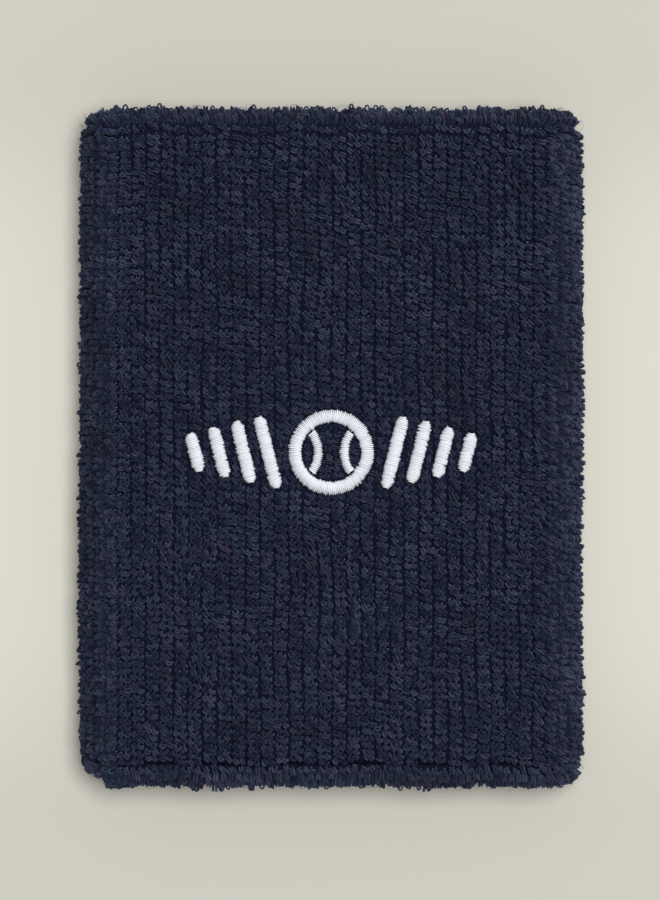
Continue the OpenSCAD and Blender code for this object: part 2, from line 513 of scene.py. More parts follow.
# A loop of terry, from foot to foot: how far to the side and how high, as shares of its width and height
FINE_LOOP = np.array(
    [(-0.62, -0.10), (-1.0, 0.60), (-0.50, 0.97), (0.50, 0.97), (1.0, 0.60), (0.62, -0.10)]
)
HALF_OPEN = [(-0.3, -0.1), (-0.75, 0.5), (-0.95, 0.8), (-0.4, 1.02)]
OPEN_LOOP = np.array(HALF_OPEN + [(-side, rise) for side, rise in reversed(HALF_OPEN)])
PLAIN_LOOP = np.array([(-0.60, -0.10), (-0.95, 0.60), (0.0, 1.0), (0.95, 0.60), (0.60, -0.10)])


def loops(places, height, width, slant, lean, plies, yarn, rng, shape=FINE_LOOP):
    """Paths of the plies of terry loops that stand at places: points with their three directions."""
    point, across, course, stand = (rows[:, None, :] for rows in places)
    count = len(height)
    height, width, slant = height[:, None, None], width[:, None, None], slant[:, None, None]
    run = np.cos(slant) * across + np.sin(slant) * course
    beside = np.cos(slant) * course - np.sin(slant) * across
    fall = rng.normal(0, 0.45, (count, 1, 1))
    tip = unit_rows(stand + lean[:, None, None] * (-course * np.cos(fall) + across * np.sin(fall)))
    side, rise = shape[None, :, 0:1], shape[None, :, 1:2]
    tilt = rng.normal(0, 0.06, (count, 1, 1))
    middle = point + run * side * width + tip * rise * height * (1 + tilt * side)
    twist = rng.normal(0.5, 0.4, (count, 1, 1)) * side
    paths = []
    for ply in range(plies):
        place = ply - (plies - 1) / 2
        spread = place * yarn * rng.normal(PLY_GAP, 0.14, (count, 1, 1))
        sink = rng.normal(0, 0.34, (count, 1, 1)) * yarn * smooth_step(0, 1, rise)
        swing = rng.normal(0, 0.09, (count, 1, 1)) * side * width
        stray = beside * (spread * np.cos(twist) + swing) + tip * (spread * np.sin(twist) + sink)
        paths.append(middle + stray)
    return np.concatenate(paths)


def crop(paths, floor):
    """Keeps strands above the table."""
    paths[..., 2] = np.maximum(paths[..., 2], floor)
    return paths


def pairs(first, second):
    """Each of the first values with each of the second, as two flat rows."""
    return (grid.ravel() for grid in np.meshgrid(first, second, indexing="ij"))


def terry_sites(columns, courses, rng):
    """Places of the outside's loops: shares of the way round, and distances along the arm."""
    knit = bpy.context.scene.wristband_knit
    column, course = pairs(columns, courses)
    step = (LAST_COURSE - TOP_GROOVE - SEAM_Y) / (knit.courses - 1.5)
    along = SEAM_Y + (course + 0.5) * step
    along = np.where(course == knit.courses - 1, LAST_COURSE, along)
    wale = column // 2
    pull = knit.pairing * (1 + 0.5 * ripple(wale * 2 / knit.columns, along, 61, waves=9, reach=9))
    pull = pull + FOLD_PAIRING * flat_loop((column + 0.5) / knit.columns)[2] ** 2
    around = (column + 0.5 + np.where(column % 2 == 0, pull, -pull)) / knit.columns
    sway = ripple(around, along, 21, waves=9, reach=6)
    own = np.sin(along / (7 * MM) + 2.4 * wale) * np.sin(along / (19 * MM) + 1.7 * wale)
    around = around + knit.wander * (0.7 * sway + 0.45 * own) / PERIMETER
    along = along + 0.30 * step * np.sin(1.3 * wale) + rng.normal(0, 0.08, len(along)) * step
    around = around + rng.normal(0, 0.06 * MM, len(around)) / PERIMETER
    return around, along


def outer_loops(columns, courses, plies, seed):
    """Paths of the plies of one patch of the outside, their diameter and their tints."""
    knit = bpy.context.scene.wristband_knit
    rng = np.random.default_rng(seed)
    around, along = terry_sites(columns, courses, rng)
    x, _, out_x, out_z = flat_loop(around)
    gap = np.where(out_z > 0.5, off_emblem(x, along), 9 * MM)
    kept = gap > EMBLEM_CLEAR
    around, along, gap, out_x = around[kept], along[kept], gap[kept], out_x[kept]
    count = len(around)
    places = wall().ground(around, along, np.zeros(count))
    height = (GROUND_DEPTH - 0.08 * MM) * (1 + rng.normal(0, HEIGHT_SPREAD, count))
    height *= 1 + 0.05 * ripple(around, along, 31, reach=7) + FOLD_RISE * out_x**2
    height *= 0.45 + 0.55 * smooth_step(EMBLEM_NEAR, EMBLEM_FAR, gap)
    seam = np.exp(-(((along - SEAM_Y - seam_wander(around)) / SEAM_HALF) ** 2))
    height *= 1 - 0.5 * seam
    width = knit.half_loop * (1 + rng.normal(0, WIDTH_SPREAD, count) - 0.12 * out_x**2)
    ruffled = smooth_step(0.4, 1.6, ripple(around, along, 71, waves=9, reach=7))
    turn = 0.28 * ripple(around, along, 41, waves=9, reach=7) - FOLD_TURN * out_x**2
    slant = knit.slant + turn + rng.normal(0, 0.20, count) * (1 + 1.6 * ruffled - 0.5 * out_x**2)
    lean = rng.normal(0.18, 0.08, count) + 0.3 * ruffled
    yarn = knit.yarn * PLY_SIZES[plies]
    shape = FINE_LOOP if plies > 1 else PLAIN_LOOP
    paths = crop(loops(places, height, width, slant, lean, plies, yarn, rng, shape), yarn / 2)
    # Painted shade darkens each ply towards its feet, and reaches higher up on the side folds
    painted_shade_rise = np.tile(-0.1 + FOLD_PAINTED_SHADE * out_x**2, plies)[:, None]
    # The side folds' loops get a lighter mean tint towards the band's edges: painted light on the folds
    return paths, yarn, ply_tints(count, plies, rng, shape, 0.43 + 0.25 * out_x**2, painted_shade_rise)


def ply_tints(count, plies, rng, shape=FINE_LOOP, middle=0.5, painted_shade_rise=-0.1):
    """Tints of the plies of loops: a shade for each loop, plies that stray from it, and painted shade that
    darkens their feet.
    """
    shade = np.tile(rng.normal(middle, 0.20, count), plies)
    shade = np.clip(shade + rng.normal(0, 0.23, len(shade)), 0.05, 1.1)
    return shade[:, None] * smooth_step(painted_shade_rise, 1.0, shape[None, :, 1])


def past_notch(around):
    """How far places lie from the notch, round the band."""
    return (around * PERIMETER - NOTCH + PERIMETER / 2) % PERIMETER - PERIMETER / 2


def seam_wander(around):
    """How far the closing seam strays along the arm."""
    return 0.5 * MM * ripple(around, 0 * around, 51, waves=5, reach=9)


# ---------------------------------------------------------------- finishes


class Value:
    """A shader socket that takes part in sums: each operator adds its Math node."""

    def __init__(self, finish, socket):
        self.finish = finish
        self.socket = socket

    def sum(self, operation, first, second):
        return self.finish.node("Math", {"operation": operation}, first, second)

    def __add__(self, other):
        return self.sum("ADD", self, other)

    def __sub__(self, other):
        return self.sum("SUBTRACT", self, other)

    def __rsub__(self, other):
        return self.sum("SUBTRACT", other, self)

    def __mul__(self, other):
        return self.sum("MULTIPLY", self, other)

    __radd__ = __add__
    __rmul__ = __mul__


class Finish:
    """One material, built node by node round a Principled shader."""

    def __init__(self, name, **constants):
        self.material = bpy.data.materials.new(name)
        self.material.use_nodes = True
        self.tree = self.material.node_tree
        self.shader = self.tree.nodes["Principled BSDF"]
        for socket, value in constants.items():
            self.shader.inputs[title(socket)].default_value = value

    def feed(self, socket, value):
        """Links a Value to a socket, or sets a number, a colour or a named colour setting on it."""
        if isinstance(value, str):
            value = tuple(getattr(bpy.context.scene.wristband_colours, value))
        if isinstance(value, Value):
            self.tree.links.new(value.socket, socket)
        elif hasattr(value, "__len__") and len(value) == 3 and socket.type == "RGBA":
            socket.default_value = (*value, 1.0)
        else:
            socket.default_value = value

    def node(self, kind, settings=None, *values, out=0, **named):
        """Adds a node: its settings first, then what feeds its sockets, in order or by name."""
        node = self.tree.nodes.new("ShaderNode" + kind)
        for key, value in (settings or {}).items():
            if key == "stops":
                for element, (place, colour) in zip(node.color_ramp.elements, value):
                    element.position = place
                    element.color = colour
            else:
                setattr(node, key, value)
        for socket, value in zip(node.inputs, values):
            self.feed(socket, value)
        for key, value in named.items():
            self.feed(node.inputs[title(key)], value)
        return Value(self, node.outputs[out])

    def colour(self, share, first, second, mode="MIX"):
        """A colour between two others."""
        node = self.tree.nodes.new("ShaderNodeMix")
        node.data_type = "RGBA"
        node.blend_type = mode
        self.feed(node.inputs[0], share)
        self.feed(node.inputs[6], first)
        self.feed(node.inputs[7], second)
        return Value(self, node.outputs[2])

    def place(self):
        """Where a point lies on its piece."""
        return self.node("TexCoord", out="Object")

    def tint(self):
        """The strand's own tint."""
        return self.node("Attribute", {"attribute_name": "tint"}, out="Fac")

    def darker(self, setting, level):
        """A colour setting at a level of its brightness."""
        colour = getattr(bpy.context.scene.wristband_colours, setting)
        return tuple(level * channel for channel in colour)

    def shade(self, **values):
        """Feeds the shader's own sockets."""
        for key, value in values.items():
            self.feed(self.shader.inputs[title(key)], value)
        return self.material


def title(key):
    """A socket's name from a keyword: base_color gives Base Color."""
    return " ".join("IOR" if word == "ior" else word.capitalize() for word in key.split("_"))


@functools.cache
def terry_finish():
    """Cotton terry yarn: matt, with paler fibres, a soft sheen and slight shifts of shade."""
    finish = Finish("terry_navy")
    place = finish.place()
    tint = finish.tint()
    shifts = finish.node("TexNoise", None, Vector=place, Scale=380.0, Detail=3.0)
    patches = finish.node("TexNoise", None, Vector=place, Scale=110.0, Detail=2.0)
    fibres = finish.node("TexNoise", None, Vector=place, Scale=5200.0, Detail=2.0)
    # The tint mixes each loop's own shade with painted shade at its feet and painted light on the rims and
    # folds
    pale = tint * 1.2 + fibres * 0.5 - 0.35
    base = finish.colour(pale, "terry", "terry_light")
    stops = [(0.36, (0.68, 1.04, 1.04, 1)), (0.62, (1.20, 0.93, 1.10, 1))]
    hue = finish.node("ValToRGB", {"stops": stops}, shifts)
    level = finish.node("MapRange", None, patches, 0.32, 0.66, 0.62, 1.24)
    base = finish.colour(1.0, finish.colour(1.0, base, hue, "MULTIPLY"), level, "MULTIPLY")
    bump = finish.node("Bump", None, Strength=0.5, Distance=0.06 * MM, Height=fibres)
    return finish.shade(
        base_color=base,
        roughness=0.92,
        specular_ior_level=0.2,
        sheen_weight=0.25,
        sheen_roughness=0.45,
        sheen_tint=(0.32, 0.45, 0.92, 1.0),
        normal=bump,
    )


@functools.cache
def ground_finish():
    """Plain ground knit behind the loops: dark, with the small arms of its stitches."""
    finish = Finish("ground_navy")
    place = finish.place()
    ribs = finish.node("TexWave", {"bands_direction": "X"}, Vector=place, Scale=390.0, Distortion=1.5)
    rows = finish.node("TexWave", {"bands_direction": "Y"}, Vector=place, Scale=800.0, Distortion=2.0)
    stitch = ribs * rows
    base = finish.colour(stitch, "ground", "terry")
    bump = finish.node("Bump", None, Strength=0.8, Distance=0.2 * MM, Height=stitch)
    return finish.shade(base_color=base, roughness=0.85, specular_ior_level=0.2, normal=bump)


@functools.cache
def satin_finish():
    """Bright embroidery thread with a silky gloss."""
    finish = Finish("satin_thread_white")
    place = finish.place()
    tint = finish.tint()
    fibres = finish.node("TexNoise", None, Vector=place, Scale=6000.0, Detail=2.0)
    base = finish.colour(tint * 0.6 + fibres * 0.5, finish.darker("satin", 0.80), "satin")
    bump = finish.node("Bump", None, Strength=0.35, Distance=0.05 * MM, Height=fibres)
    return finish.shade(
        base_color=base,
        roughness=0.48,
        specular_ior_level=0.5,
        sheen_weight=0.15,
        sheen_roughness=0.35,
        normal=bump,
    )


def wound_finish(name, setting, turns, strength, depth, **values):
    """A finish with slanting stripes along a strand, from the ground's colour to another."""
    finish = Finish(name)
    way = finish.node("UVMap", {"uv_map": "UVMap"})
    winding = finish.node("TexWave", {"bands_direction": "DIAGONAL"}, Vector=way, Scale=turns)
    base = finish.colour(winding, "ground", setting)
    bump = finish.node("Bump", None, Strength=strength, Distance=depth, Height=winding)
    return finish.shade(base_color=base, normal=bump, **values)


@functools.cache
def seam_finish():
    """Twisted navy sewing thread."""
    return wound_finish(
        "seam_thread_navy", "terry", 14.0, 0.6, 0.08 * MM, roughness=0.85, specular_ior_level=0.1
    )


@functools.cache
def elastic_finish():
    """Elastic yarn wound with fine nylon."""
    return wound_finish("covered_elastic", "elastic", 40.0, 0.7, 0.05 * MM, roughness=0.5)


@functools.cache
def backing_finish():
    """Non-woven backing: pale pressed fibres."""
    finish = Finish("tear_away_backing")
    place = finish.place()
    felt = finish.node("TexNoise", None, Vector=place, Scale=2600.0, Detail=6.0, Distortion=1.2)
    base = finish.colour(felt, finish.darker("backing", 0.75), "backing")
    bump = finish.node("Bump", None, Strength=0.6, Distance=0.1 * MM, Height=felt)
    return finish.shade(base_color=base, roughness=0.95, sheen_weight=0.1, normal=bump)


@functools.cache
def table_finish():
    """Plain pale table top, with a painted pool of light across its middle."""
    finish = Finish("table_top")
    along = finish.node("SeparateXYZ", None, finish.place(), out=1)
    smoother = {"interpolation_type": "SMOOTHERSTEP"}
    # Painted pool of light: the table is paler across its middle and darker away from it
    middle = finish.node("MapRange", smoother, along * along, 0.0, LIGHT_POOL_REACH**2, 1.0, 0.0)
    base = finish.colour(middle, finish.darker("table", 0.85), "table")
    return finish.shade(base_color=base, roughness=0.9, specular_ior_level=0.1)


# ---------------------------------------------------------------- pieces


class BAND_OT_ground_knit(Operator):
    """Lay the folded ground knit: one sheet from the seam, over both rims and back to the seam"""

    bl_idname = "band.ground_knit"
    bl_label = "Ground knit"

    def execute(self, context):
        rise = np.linspace(SEAM_Y + SEAM_GAP, TURN_Y, KNIT_ALONG)
        fall = np.linspace(TURN_Y, -TURN_Y, KNIT_ALONG)[1:]
        back = np.linspace(-TURN_Y, SEAM_Y - SEAM_GAP, KNIT_BACK)[1:]
        bend = np.linspace(0, math.pi, KNIT_TURNS + 1)[1:-1]
        over, under = np.full(len(bend), TURN_Y), np.full(len(bend), -TURN_Y)
        along = np.concatenate([rise, over, fall, under, [-TURN_Y], back])
        turn = np.concatenate([0 * rise, bend, 0 * fall + math.pi, bend[::-1], [0.0], 0 * back])
        around = np.arange(KNIT_ROUND + 1)[:, None] / KNIT_ROUND + 0 * along[None, :]
        places = wall().ground(around, along[None, :] + 0 * around, turn[None, :] + 0 * around)
        sheet = laid_grid(places[0])
        bmesh.ops.recalc_face_normals(sheet, faces=sheet.faces)
        mesh = mesh_of("ground_knit", sheet)
        mesh.shade_smooth()
        knit = piece("ground_knit", mesh, ground_finish(), "ground_navy", "ground_knit_tube")
        wall_thickness = knit.modifiers.new("Knit thickness", "SOLIDIFY")
        wall_thickness.thickness = KNIT_THICKNESS
        wall_thickness.offset = -1.0
        return {"FINISHED"}


class BAND_OT_outer_terry(Operator):
    """Knit the loops of the outside: front, side folds and underside"""

    bl_idname = "band.outer_terry"
    bl_label = "Outer terry"

    def execute(self, context):
        knit = context.scene.wristband_knit
        front, right, under = (round(end * knit.columns) for end in (FRONT_END, RIGHT_END, UNDER_END))
        edge = (right - front) // 2
        every = np.arange(knit.courses)
        quarter, half = knit.courses // 4, knit.courses // 2
        patches = {
            "front_terry_lower": (np.arange(front), every[:quarter], 2),
            "front_terry_below_emblem": (np.arange(front), every[quarter:half], 2),
            "front_terry_above_emblem": (np.arange(front), every[half : half + quarter], 2),
            "front_terry_upper": (np.arange(front), every[half + quarter :], 2),
            "right_fold_terry": (np.arange(front, front + edge), every, 2),
            "right_lower_fold_terry": (np.arange(front + edge, right), every, 2),
            "underside_terry_lower": (np.arange(right, under), every[:half], 1),
            "underside_terry_upper": (np.arange(right, under), every[half:], 1),
            "left_lower_fold_terry": (np.arange(under, under + edge), every, 2),
            "left_fold_terry": (np.arange(under + edge, knit.columns), every, 2),
        }
        for seed, (name, (columns, courses, plies)) in enumerate(patches.items()):
            paths, yarn, tint = outer_loops(columns, courses, plies, 100 + seed)
            rounder = 1 if name.startswith(("front", "right_fold", "left_fold")) else 0
            yarn_piece(
                name, paths, yarn, tint, terry_finish(), "terry_navy", "outer_terry_face", roundness=rounder
            )
        return {"FINISHED"}


class BAND_OT_inside_terry(Operator):
    """Knit the loops of the inside, against the wrist"""

    bl_idname = "band.inside_terry"
    bl_label = "Inside terry"

    def execute(self, context):
        knit = context.scene.wristband_knit
        yarn = INSIDE_YARN * knit.yarn
        half = knit.inside_courses // 2
        for name, courses in (
            ("inside_terry_lower", np.arange(half)),
            ("inside_terry_upper", np.arange(half, knit.inside_courses)),
        ):
            rng = np.random.default_rng(200 + half + courses[0])
            column, course = pairs(np.arange(knit.inside_columns), courses)
            around = (column + 0.5 + rng.normal(0, 0.06, len(column))) / knit.inside_columns
            along = (2 * (course + 0.5) / knit.inside_courses - 1) * TURN_Y
            count = len(around)
            places = wall().ground(around, along, np.full(count, math.pi))
            height = 0.80 * GROUND_DEPTH * (1 + rng.normal(0, HEIGHT_SPREAD, count))
            width = 1.35 * knit.half_loop * (1 + rng.normal(0, WIDTH_SPREAD, count))
            slant = -knit.slant + rng.normal(0, 0.3, count)
            lean = np.abs(rng.normal(0.2, 0.15, count))
            paths = loops(places, height, width, slant, lean, 1, yarn, rng, PLAIN_LOOP)
            tint = ply_tints(count, 1, rng, PLAIN_LOOP)
            yarn_piece(name, paths, yarn, tint, terry_finish(), "terry_navy", "wrist_side_terry_face")
        return {"FINISHED"}


# Rows of loops over each rim: distance in from the turn, angle round it, height share and turn of the loops
RIM_ROWS = {
    "upper_rim_loops": [
        (0.0, math.radians(34), 0.90, math.radians(-45)),
        (0.0, math.radians(62), 0.98, math.radians(-62)),
        (0.0, math.radians(90), 0.98, math.radians(-50)),
        (0.0, math.radians(120), 0.92, math.radians(-40)),
        (0.0, math.radians(152), 0.85, math.radians(-40)),
    ],
    "lower_rim_loops": [
        (0.15 * MM, math.radians(0), 0.90, math.radians(-58)),
        (0.0, math.radians(34), 1.00, math.radians(-72)),
        (0.0, math.radians(66), 1.02, math.radians(-70)),
        (0.0, math.radians(96), 0.98, math.radians(-50)),
        (0.0, math.radians(140), 0.88, math.radians(-40)),
    ],
}


class BAND_OT_rims(Operator):
    """Knit the loops that turn over the rims"""

    bl_idname = "band.rims"
    bl_label = "Turned rims"

    def execute(self, context):
        knit = context.scene.wristband_knit
        for name, end, node in (
            ("upper_rim_loops", 1.0, "upper_rim_terry"),
            ("lower_rim_loops", -1.0, "lower_rim_terry"),
        ):
            rng = np.random.default_rng(300 + int(end))
            rows = RIM_ROWS[name]
            column, row = pairs(np.arange(knit.columns), np.arange(len(rows)))
            offset, turn, tall, plane = (np.array(values)[row] for values in zip(*rows))
            turn = turn + rng.normal(0, 0.08, len(row))
            around = (column + 0.5 + 0.5 * (row % 2) + rng.normal(0, 0.10, len(column))) / knit.columns
            if end < 0:
                past = past_notch(around)
                kept = (past > BARE_TO) | (past < BARE_FROM) | (turn > BARE_TURN)
                around, offset, turn = around[kept], offset[kept], turn[kept]
                tall, plane = tall[kept], plane[kept]
            count = len(around)
            places = wall().ground(around, end * (TURN_Y - offset), turn)
            long_loop = rng.random(count) < LONG_LOOPS
            height = GROUND_DEPTH * tall * (1 + rng.normal(0, 0.08, count)) * (1 + 0.18 * long_loop)
            if end < 0:
                height *= 1 - 0.3 * np.exp(-((past_notch(around) / (0.35 * MM)) ** 2))
            width = knit.half_loop * (1.0 + rng.normal(0, WIDTH_SPREAD, count)) * (1 + 0.30 * long_loop)
            slant = plane + rng.normal(0, 0.35, count)
            lean = rng.normal(0.0, 0.12, count)
            paths = crop(loops(places, height, width, slant, lean, 2, knit.yarn, rng), knit.yarn / 2)
            # Rim loops get a lighter mean tint than the front's: painted light on the rims
            tint = ply_tints(count, 2, rng, middle=0.62)
            yarn_piece(name, paths, knit.yarn, tint, terry_finish(), "terry_navy", node, roundness=1)
        return {"FINISHED"}


def seam_path():
    """The seam's thread, which swings from side to side along the seam, round the whole band."""
    steps = SEAM_STITCHES * SEAM_STEPS
    around = np.arange(steps) / steps
    phase = 2 * math.pi * SEAM_STITCHES * around
    along = SEAM_Y + seam_wander(around) + SEAM_SWING * np.sin(phase)
    point, _, _, out = wall().at(around, along)
    return point + out * (GROUND_HALF + 0.16 * MM + 0.10 * MM * np.cos(phase))[:, None]


def curl_path():
    """The yarn's end, wound into a small dome at the lower left corner."""
    middle = np.array([NOTCH_X - 1.0 * MM, 0.30 * MM - TURN_Y, 1.5 * FOLD_RADIUS])
    stand = unit_rows(np.array([-0.4, -0.4, 0.8]))
    across = unit_rows(np.cross((0.0, 1.0, 0.0), stand))
    course = np.cross(stand, across)
    t = np.linspace(0, 1, CURL_POINTS)[:, None]
    turns = 2 * math.pi * CURL_TURNS * t
    reach = CURL_RADIUS * (1.0 - 0.88 * t)
    rise = CURL_RADIUS * (np.sqrt(1.05 - (1 - t) ** 2) - 0.5)
    return middle + reach * (np.cos(turns) * across + np.sin(turns) * course) + rise * stand


def knot_path():
    """The seam's knot: a closed trefoil in the middle of its CAD node."""
    low, high = (np.array(corner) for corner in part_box("closing_seam_knot"))
    t = np.linspace(0, 2 * math.pi, KNOT_POINTS, endpoint=False)
    x = KNOT_REACH * (np.sin(t) + 2 * np.sin(2 * t)) / 2.2
    y = -KNOT_REACH * 0.5 * np.sin(3 * t)
    z = KNOT_REACH * (np.cos(t) - 2 * np.cos(2 * t)) / 2.2
    return (low + high) / 2 + np.column_stack([x, y, z])


class BAND_OT_closing_seam(Operator):
    """Stitch the seam that closes the folded tube, with its knot and the yarn's curled end"""

    bl_idname = "band.closing_seam"
    bl_label = "Closing seam"

    def execute(self, context):
        middling, pale = np.array([0.5]), np.array([0.6])
        sewn = (seam_finish(), "seam_thread_navy")
        knitted = (terry_finish(), "terry_navy")
        name, node = "closing_seam_stitches", "closing_seam_thread"
        yarn_piece(name, [seam_path()], SEAM_THREAD, middling, *sewn, node, closed=True)
        name, node = "seam_start_curl", "lower_rim_terry"
        yarn_piece(name, [curl_path()], CURL_YARN, pale, *knitted, node, roundness=1)
        name, node = "seam_start_knot", "closing_seam_knot"
        yarn_piece(name, [knot_path()], KNOT_THREAD, middling, *sewn, node, closed=True)
        return {"FINISHED"}


class BAND_OT_elastic(Operator):
    """Lay the covered elastic yarns between the two layers of ground knit"""

    bl_idname = "band.elastic"
    bl_label = "Elastic yarns"

    def execute(self, context):
        low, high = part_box("inlaid_elastic_yarns")
        ends = (low[1] + ELASTIC_YARN / 2, high[1] - ELASTIC_YARN / 2)
        around = np.arange(ELASTIC_POINTS) / ELASTIC_POINTS
        paths = []
        for middle in np.linspace(*ends, ELASTIC_RINGS):
            wave = 0.25 * MM * np.sin(2 * math.pi * ELASTIC_POINTS / 4 * around)
            point, _, _, out = wall().at(around, middle + wave)
            paths.append(point + out * 0.27 * MM)
        tint = np.full(ELASTIC_RINGS, 0.5)
        finish = (elastic_finish(), "covered_elastic")
        yarn_piece("elastic_yarns", paths, ELASTIC_YARN, tint, *finish, "inlaid_elastic_yarns", closed=True)
        return {"FINISHED"}


# The backing: its outline's points and waves, the waves' size, its height over the ground knit and its
# thickness
BACKING_POINTS, BACKING_WAVES = 96, 5
TEAR = 0.25 * MM
BACKING_HEIGHT = -1.1 * MM
BACKING_THICKNESS = 0.25 * MM


class BAND_OT_backing(Operator):
    """Lay the tear-away backing behind the emblem"""

    bl_idname = "band.backing"
    bl_label = "Backing"

    def execute(self, context):
        half_x = (BACKING_HIGH[0] - BACKING_LOW[0]) / 2
        half_y = (BACKING_HIGH[1] - BACKING_LOW[1]) / 2
        rng = np.random.default_rng(7)
        waves = rng.uniform(0, 2 * math.pi, BACKING_WAVES)
        sheet = bmesh.new()
        bmesh.ops.create_circle(sheet, cap_ends=True, segments=BACKING_POINTS, radius=1.0)
        bmesh.ops.inset_individual(sheet, faces=sheet.faces, thickness=0.25)
        bmesh.ops.poke(sheet, faces=[face for face in sheet.faces if len(face.verts) > 4])
        for vert in sheet.verts:
            angle = math.atan2(vert.co.y, vert.co.x)
            torn = TEAR * sum(math.sin((5 + 4 * k) * angle + wave) for k, wave in enumerate(waves)) / 2
            x = np.array([(half_x + torn) * vert.co.x])
            y = np.array([(half_y + torn) * vert.co.y])
            vert.co = wall().front(x, y + EMBLEM_Y, np.array([BACKING_HEIGHT]))[0]
        bmesh.ops.recalc_face_normals(sheet, faces=sheet.faces)
        name = "embroidery_backing_sheet"
        mesh = mesh_of(name, sheet)
        mesh.shade_smooth()
        backing = piece(name, mesh, backing_finish(), "tear_away_backing", "embroidery_backing")
        felt = backing.modifiers.new("Backing thickness", "SOLIDIFY")
        felt.thickness = BACKING_THICKNESS
        felt.offset = 0.0
        return {"FINISHED"}


# Section of a satin stitch, from edge to edge: how far across and how high, as shares
STITCH_ACROSS = np.array([-1.0, -0.96, -0.62, 0.0, 0.62, 0.96, 1.0])
STITCH_RISE = np.array([0.0, 0.62, 0.93, 1.0, 0.93, 0.62, 0.0])


def satin(middle, across, half, rng):
    """Stitches over a column, from rows of its middle points, cross directions and half widths."""
    stitches = bpy.context.scene.wristband_emblem
    count = len(middle)
    low = UNDERLAY_LOW - 0.3 * MM
    top = SATIN_TOP - stitches.thread / 2
    half = half[:, None] * (1 + rng.normal(0, 0.045, (count, 1)))
    slide = rng.normal(0, 0.06 * MM, (count, 1))
    crown = top - low - 0.04 * MM * (np.arange(count) % 2)[:, None] + rng.normal(0, 0.025 * MM, (count, 1))
    crown = crown * (0.80 + 0.20 * smooth_step(0.2 * MM, 0.8 * MM, half))
    run = STITCH_ACROSS[None, :] * (half - stitches.thread / 2) + slide
    x = middle[:, None, 0] + across[:, None, 0] * run
    y = middle[:, None, 1] + across[:, None, 1] * run + EMBLEM_Y
    return wall().front(x, y, low + crown * STITCH_RISE[None, :])


def bar_rows(x, length, lean, width, stitch):
    """Rows of a round-ended bar that leans from the vertical."""
    run = np.arange(-length / 2 + 0.5 * stitch, length / 2, stitch)
    way = np.array([math.sin(lean), math.cos(lean)])
    over = np.maximum(np.abs(run) - (length - width) / 2, 0)
    half = np.sqrt(np.maximum((width / 2) ** 2 - over**2, (0.30 * width) ** 2))
    middle = np.array([x, 0.0]) + run[:, None] * way
    return middle, np.tile([way[1], -way[0]], (len(run), 1)), half


def arc_rows(centre, radius, start, end, half_width, stitch):
    """Rows of a round column between two angles."""
    count = max(int(abs(end - start) * radius / stitch), 3)
    angle = np.linspace(start, end, count, endpoint=abs(end - start) < 6.2)
    way = np.column_stack([np.cos(angle), np.sin(angle)])
    return np.asarray(centre) + radius * way, way, np.full(count, half_width)


# Share of a seam curve that its stitches follow inside the ball, and the hidden threads' diameters and
# their widths as shares of the satin column
CURVE_SHARE = 0.93
UNDERLAY_THREAD, UNDERLAY_WIDTH = 0.75 * MM, 0.72
BOBBIN_THREAD, BOBBIN_WIDTH = 0.16 * MM, 0.3


def emblem_columns():
    """The columns of each emblem piece, as rows for its stitches."""
    sizes = bpy.context.scene.wristband_emblem
    ring = BALL_RADIUS - sizes.column / 2
    inner = ring - sizes.column / 2 - 0.2 * MM
    offset, radius = sizes.curve_offset, sizes.curve_radius
    reach = CURVE_SHARE * math.acos((offset**2 + radius**2 - inner**2) / (2 * offset * radius))
    columns = {
        "emblem_ball_outline": [arc_rows((0, 0), ring, 0, 2 * math.pi, sizes.column / 2, sizes.stitch)],
        "emblem_ball_curves": [],
        "emblem_left_bars": [],
        "emblem_right_bars": [],
    }
    for side, facing in ((-1, 0), (1, math.pi)):
        start, end = facing - reach, facing + reach
        rows = arc_rows((side * offset, 0), radius, start, end, sizes.curve_column / 2, sizes.stitch)
        columns["emblem_ball_curves"].append(rows)
    for side, x, length, lean in bars():
        name = "emblem_left_bars" if side < 0 else "emblem_right_bars"
        columns[name].append(bar_rows(x, length, lean, sizes.column, sizes.stitch))
    return columns


class BAND_OT_emblem(Operator):
    """Stitch the emblem: underlay, satin columns and the bobbin thread behind them"""

    bl_idname = "band.emblem"
    bl_label = "Emblem"

    def execute(self, context):
        thread = context.scene.wristband_emblem.thread
        rng = np.random.default_rng(9)
        white = (satin_finish(), "satin_thread_white")
        under_height = (UNDERLAY_LOW + UNDERLAY_HIGH) / 2 + 0.25 * MM
        underlay, bobbin = [], []
        for node, group in emblem_columns().items():
            threads = np.concatenate([satin(*rows, rng) for rows in group])
            tint = np.clip(rng.normal(0.6, 0.25, len(threads)), 0, 1)
            yarn_piece(node + "_satin", threads, thread, tint, *white, node)
            for middle, across, half in group:
                underlay += zigzag(middle, across, half * UNDERLAY_WIDTH, under_height)
                bobbin += zigzag(middle, across, half * BOBBIN_WIDTH, BOBBIN_MIDDLE)
        tint = np.full(len(underlay), 0.6)
        yarn_piece(
            "emblem_underlay_zigzag", underlay, UNDERLAY_THREAD, tint, *white, "emblem_underlay_stitches"
        )
        behind = (satin_finish(), "bobbin_thread_white")
        yarn_piece("emblem_bobbin_stitches", bobbin, BOBBIN_THREAD, tint, *behind, "emblem_bobbin_thread")
        return {"FINISHED"}


def zigzag(middle, across, half, height):
    """One thread that crosses a column from side to side at a height above the ground knit."""
    side = np.where(np.arange(len(middle)) % 2 == 0, 1.0, -1.0)
    place = middle + across * (half * side)[:, None]
    return [wall().front(place[:, 0], place[:, 1] + EMBLEM_Y, np.full(len(place), height))]


